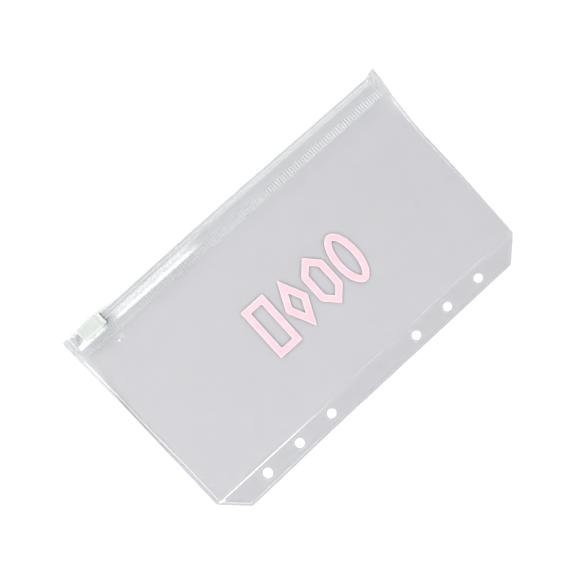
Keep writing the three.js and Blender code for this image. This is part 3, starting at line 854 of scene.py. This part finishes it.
def zip_marks(x, y, is_outer, bar, crushed, half):
    """How white (partly painted highlights), how dark (partly painted shade) and how joined to the film
    each place on a zip half is.
    """
    flicker = 0.85 + 0.15 * waves(x, y, 21, (3.1, 5.7, 11))
    wavy = 0.3 * waves(x, x * 0, 9, (13, 7, 29))

    # The welded tape with its bars: white on the bars, partly painted highlight, and painted shade in the
    # grooves between them
    on_tape = shows(y, (TAPE_START, TAPE_START + 0.3), (FILM_TOP - 0.3, FILM_TOP))
    whitening_and_highlight = np.interp(x, *BAR_WHITE) * bar ** 1.5 * flicker
    rim = 0.4 * on_tape * (1 - bar)

    # The bare flange: two long highlights painted left of the middle, and one painted below the slider
    flange = shows(y, (FILM_TOP - 0.15, FILM_TOP + 0.1), (96.7, 97.0))
    streak = shows(x, STREAK_IN, STREAK_OUT)
    taper = 0.5 * (1 - smooth_step(-70, -57, x))
    broad = smooth_step(92.8, 93.0, y - taper) * (1 - smooth_step(94.0, 95.0 + wavy, y + taper))
    narrow = hump(y, 96.05 + wavy * 0.6, 0.75)
    whitening_and_highlight = np.maximum(whitening_and_highlight, streak * flange * np.maximum(0.95 * broad, 0.62 * narrow))
    whitening_and_highlight = np.maximum(whitening_and_highlight, streak * flange * 0.4)
    by_slider = shows(x, PATCH_IN, PATCH_OUT)
    whitening_and_highlight = np.maximum(whitening_and_highlight, 0.9 * by_slider * flange * (1 - smooth_step(95.2, 96.6, y) * 0.8))

    # The track: pale lines painted along it as highlights, and dark lines painted at its two edges as
    # shade
    past_slider = smooth_step(-83, -82, x)
    painted_highlight_line = between(0.25, 0.42, smooth_step(-40, 10, x)) * hump(y, ZIP_EDGE - 1.1, 0.45)
    whitening_and_highlight = np.maximum(whitening_and_highlight, 0.1 * past_slider * hump(y, 98.1, 1.2))
    whitening_and_highlight = np.maximum(whitening_and_highlight, past_slider * painted_highlight_line)
    whitening_and_highlight = np.maximum(whitening_and_highlight, 0.5 * past_slider * (1 - smooth_step(-30, 0, x)) * hump(y, 96.95, 0.35))
    whitening_and_highlight = np.maximum(whitening_and_highlight, 0.2 * smooth_step(-30, 0, x) * hump(y, 97.1, 0.5))
    rim = np.maximum(rim, hump(y, ZIP_EDGE - 0.1, 0.75))
    rim = np.maximum(rim, between(0.6, 0.1, smooth_step(-40, 20, x)) * hump(y, 97.45, 0.4))
    flange_dark = between(0.05, 0.3, smooth_step(93.2, 96.6, y))
    rim = np.maximum(rim, flange * flange_dark * (1 - streak) * (1 - by_slider))
    rim = np.maximum(rim, 0.35 * (1 - past_slider) * smooth_step(96.8, 97.0, y))

    # The crushed ears: mottled, with lines beside the left one's cut edge, and painted shade towards
    # their cut sides
    from_left = x - left_side(y)
    from_side = np.minimum(from_left, right_side(y) - x)
    lines = 0.14 * hump(from_left, 1.25, 0.4)
    lines = lines + 0.6 * hump(from_left, 3.0, 0.45) * smooth_step(92.9, 94.5, y)
    mottled = 0.03 + 0.06 * waves(x, y, 31, (1.3, 1.9, 2.6)) + lines * (x < 0)
    dark = 0.24 + 0.16 * waves(x, y, 33, (1.7, 2.3)) + 0.2 * hump(from_left, 1.85, 0.4) * (x < 0)
    dark = dark + 0.3 * (1 - smooth_step(0.3, 0.9, from_side))
    whitening_and_highlight = between(whitening_and_highlight, np.clip(mottled, 0, 1), crushed)
    # A painted highlight on the flange beside the left ear
    patch = shows(x, EAR_PATCH_IN, EAR_PATCH_OUT) * flange
    whitening_and_highlight = np.maximum(whitening_and_highlight, 0.85 * patch * (1 - smooth_step(94.9, 95.9, y)))
    rim = between(rim, dark, crushed)
    joined = np.where(is_outer, 0, 1 - smooth_step(FILM_TOP - 0.05, FILM_TOP + 0.05, y))
    if half < 0:
        whitening_and_highlight = whitening_and_highlight * 0.3
    return whitening_and_highlight * is_outer, np.clip(rim, 0, 1), joined


zip_front = zip_half("zip_front", 1)
zip_back = zip_half("zip_back", -1)


# Slider
def slider_piece():
    """A C-shaped section drawn along the zip, rounded at both ends and stepped in at the collar."""
    near, far = SLIDER_NEAR, SLIDER_FAR
    half, corner = ZIP_HEIGHT, 1.1
    slot, channel = 0.9, 1.6
    channel_near, channel_far = TRACK_START - 0.6, ZIP_EDGE + 0.45
    most_side, most_inset = 0.5, 0.95

    def outer_line(inset):
        side = min(inset, most_side)
        points = [(near + side, slot), (near + side, (slot + half - corner) / 2)]
        for t in np.linspace(0, 1, 7):
            turn = math.pi / 2 * t
            across = near + side + corner * (1 - math.cos(turn))
            points.append((across, half - inset - corner * (1 - math.sin(turn))))
        for t in np.linspace(0, 1, 12)[1:-1]:
            points.append((between(near + side + corner, far - side - corner, t), half - inset))
        for t in np.linspace(0, 1, 7):
            turn = math.pi / 2 * t
            across = far - side - corner * (1 - math.sin(turn))
            points.append((across, half - inset - corner * (1 - math.cos(turn))))
        points.append((far - side, 0.0))
        lower = [(a, -b) for a, b in points[:-1]]
        return np.array(points + lower[::-1])

    count = len(outer_line(0))
    corners = [(near, slot), (channel_near, slot), (channel_near, channel), (channel_far, channel)]
    corners += [(channel_far, -channel), (channel_near, -channel), (channel_near, -slot), (near, -slot)]
    corners = np.array(corners)
    lengths = np.linalg.norm(np.diff(corners, axis=0), axis=1)
    run = np.concatenate([[0], np.cumsum(lengths)])
    at = np.sort(np.concatenate([run, np.linspace(0, run[-1], count - len(run) + 2)[1:-1]]))
    inner = np.column_stack([np.interp(at, run, corners[:, 0]), np.interp(at, run, corners[:, 1])])

    left, right = SLIDER_LEFT, SLIDER_LEFT + SLIDER_LENGTH
    shoulder = right - COLLAR_LENGTH
    # Each section's X, and how far it is set in
    left_end = ((0, 0.75), (0.06, 0.5), (0.2, 0.26), (0.42, 0.1), (0.75, 0.0))
    step = ((0.75, 0.0), (0.4, 0.06), (0.18, 0.18), (0.04, 0.34))
    neck = ((0, COLLAR_STEP), (0.5, COLLAR_STEP), (1.0, COLLAR_STEP + 0.01))
    right_end = ((0.3, 0.52), (0.1, 0.66), (0, 0.9))
    stations = [(left + away, inset) for away, inset in left_end]
    stations += [(x, 0.0) for x in np.linspace(left + 1.3, shoulder - 1.3, 16)]
    stations += [(shoulder - away, inset) for away, inset in step]
    stations += [(shoulder + away, inset) for away, inset in neck]
    stations += [(right - away, inset) for away, inset in right_end]
    places, pale = [], []
    for x, inset in stations:
        line = outer_line(min(inset, most_inset))
        y, z = line[:, 0], line[:, 1]
        on_top = smooth_step(0.9, 1.5, y - near) * smooth_step(0.9, 1.5, far - y) * (np.abs(z) > 2)
        pad = float(smooth_step(0.8, 1.5, x - left) * smooth_step(0.6, 1.3, shoulder - x))
        z = z - np.sign(z) * 0.16 * pad * on_top
        places += [(x, a, ZIP_HEIGHT + b) for a, b in zip(y, z)]
        # Paler towards the near edge, the ends and the collar; at the ends and the collar this is painted
        # light over their shade
        edge = 1.3 * (1 - np.clip((y - near) / 1.1, 0, 1)) + 0.25 * (1 - np.clip((far - y) / 1.1, 0, 1))
        end = 0.4 * max(0.0, 1 - min(x - left, right - x) / 0.9)
        collar = 0.45 * float(smooth_step(shoulder - 0.3, shoulder + 0.1, x))
        pale += list(np.clip(edge + end + collar, 0, 1.3))
        places += [(x, max(a, near + min(inset, most_side)), ZIP_HEIGHT + b) for a, b in inner]
        pale += [0.0] * count
    wide = 2 * count
    faces = []
    ring = list(range(count)) + list(range(wide - 1, count - 1, -1))
    for i in range(len(stations) - 1):
        for a, b in zip(ring, ring[1:] + ring[:1]):
            faces.append((i * wide + a, (i + 1) * wide + a, (i + 1) * wide + b, i * wide + b))
    for i in (0, len(stations) - 1):
        for j in range(count - 1):
            quad = [i * wide + j, i * wide + j + 1, i * wide + count + j + 1, i * wide + count + j]
            faces.append(tuple(quad if i == 0 else quad[::-1]))
    return mesh_piece("slider_clip", places, faces, slider_material, {"pale": pale}, sharp=50)


slider = slider_piece()


# Print: four plain shapes drawn as thick outlines
def mark_outlines():
    wide, high = MARK_WIDTH / 2, MARK_HEIGHT / 2
    turns = np.arange(48) * 2 * math.pi / 48
    right = [(wide, -high / 2), (wide, high / 2), (0, high)]
    left = [(-wide, high / 2), (-wide, -high / 2), (0, -high)]
    return {
        "upright_frame": [(wide, -high), (wide, high), (-wide, high), (-wide, -high)],
        "diamond": [(wide, 0), (0, high), (-wide, 0), (0, -high)],
        "hexagon": right + left,
        "oval": [(wide * math.cos(t), high * math.sin(t)) for t in turns],
    }


def inset_outline(outline, inset):
    """Each side of a convex anticlockwise outline moved inwards, and met again with its neighbours."""
    sides = []
    for (x, y), (next_x, next_y) in zip(outline, outline[1:] + outline[:1]):
        long = math.hypot(next_x - x, next_y - y)
        normal = (-(next_y - y) / long, (next_x - x) / long)
        sides.append((normal[0], normal[1], normal[0] * x + normal[1] * y + inset))
    corners = []
    for (a, b, reach), (c, d, next_reach) in zip(sides[-1:] + sides[:-1], sides):
        cross = a * d - b * c
        corners.append(((reach * d - next_reach * b) / cross, (a * next_reach - c * reach) / cross))
    return corners


def soft_loop(outline, reach, spacing=0.5):
    """The closed outline with its corners rounded."""
    corners = [np.array(c, float) for c in outline]
    if len(corners) > 12:
        return resampled(corners + corners[:1], spacing)[:-1]
    start = (corners[-1] + corners[0]) / 2
    path = rounded_path([start] + corners + [start], reach)
    return resampled(path, spacing)[:-1]


def side_distance(outline, x, y):
    """Distance inside a convex outline from its nearest side."""
    best = None
    for (ax, ay), (bx, by) in zip(outline, outline[1:] + outline[:1]):
        long = math.hypot(bx - ax, by - ay)
        away = ((bx - ax) * (y - ay) - (by - ay) * (x - ax)) / long
        best = away if best is None else np.minimum(best, away)
    return best


def in_loop(loop, x, y):
    """True for each place inside a closed loop, by counting crossings."""
    inside = np.zeros(len(x), bool)
    for (ax, ay), (bx, by) in zip(loop, np.roll(loop, -1, axis=0)):
        if ay == by:
            continue
        crosses = ((ay > y) != (by > y)) & (x < (bx - ax) * (y - ay) / (by - ay) + ax)
        inside ^= crosses
    return inside


def print_piece(kind, outline, middle):
    outline = [(a + middle[0], b + middle[1]) for a, b in outline]
    plan = Plan()
    for inset, reach in ((0, 0.7), (0.12, 0.6), (0.35, 0.5), (0.6, 0.4)):
        plan.line(soft_loop(inset_outline(outline, inset), reach), closed=True)
    for back, reach in ((0.6, 0.4), (0.35, 0.4), (0.12, 0.5), (0, 0.5)):
        plan.line(soft_loop(inset_outline(outline, MARK_STROKE - back), reach), closed=True)
    low = np.min(outline, axis=0)
    far = np.max(outline, axis=0)

    def within(x, y):
        away = side_distance(outline, x, y)
        return 0.9 < away < MARK_STROKE - 0.9

    plan.fill(0.9, (low[0], low[1], far[0], far[1]), within)
    outer_loop = np.array(soft_loop(outline, 0.7))
    inner_loop = np.array(soft_loop(inset_outline(outline, MARK_STROKE), 0.5))

    def inside(x, y):
        return in_loop(outer_loop, x, y) & ~in_loop(inner_loop, x, y)

    points, triangles = plan.triangles(inside)
    x, y = points[:, 0], points[:, 1]
    away = side_distance(outline, x, y)
    from_edge = np.minimum(away, MARK_STROKE - away)
    base = front_face(x, y) + AIR / 2
    top = base + MARK_THICKNESS * between(0.4, 1, smooth_step(0, 0.35, from_edge))
    pale = 1 - smooth_step(0.05, 0.55, from_edge + 0.08 * waves(x, y, 41, (1.1, 1.7, 2.9)))
    values = {"pale": (pale, pale)}
    return slab("print_shape_" + kind, points, triangles, base, top, print_material, values)


prints = {}
for i, (kind, outline) in enumerate(mark_outlines().items()):
    across = MARK_LEFT + MARK_WIDTH / 2 + i * (MARK_WIDTH + MARK_SPACE)
    prints[kind] = print_piece(kind, outline, (across, MARK_BOTTOM + MARK_HEIGHT / 2))


# Which body each piece rides on, which solid it stands for, and a finish name for each, which the loop
# doesn't use
for piece, node, slot in [
    (front_sheet, "front_sheet", "clear_film"),
    (back_sheet, "back_sheet", "clear_film"),
    (zip_front, "zip_track_front", "zip_profile"),
    (zip_back, "zip_track_back", "zip_profile"),
    (slider, "slider", "slider_plastic"),
] + [(piece, "print_" + kind, "pink_print") for kind, piece in prints.items()]:
    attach(piece, "zip_slider" if node == "slider" else "pouch")
    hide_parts(node)
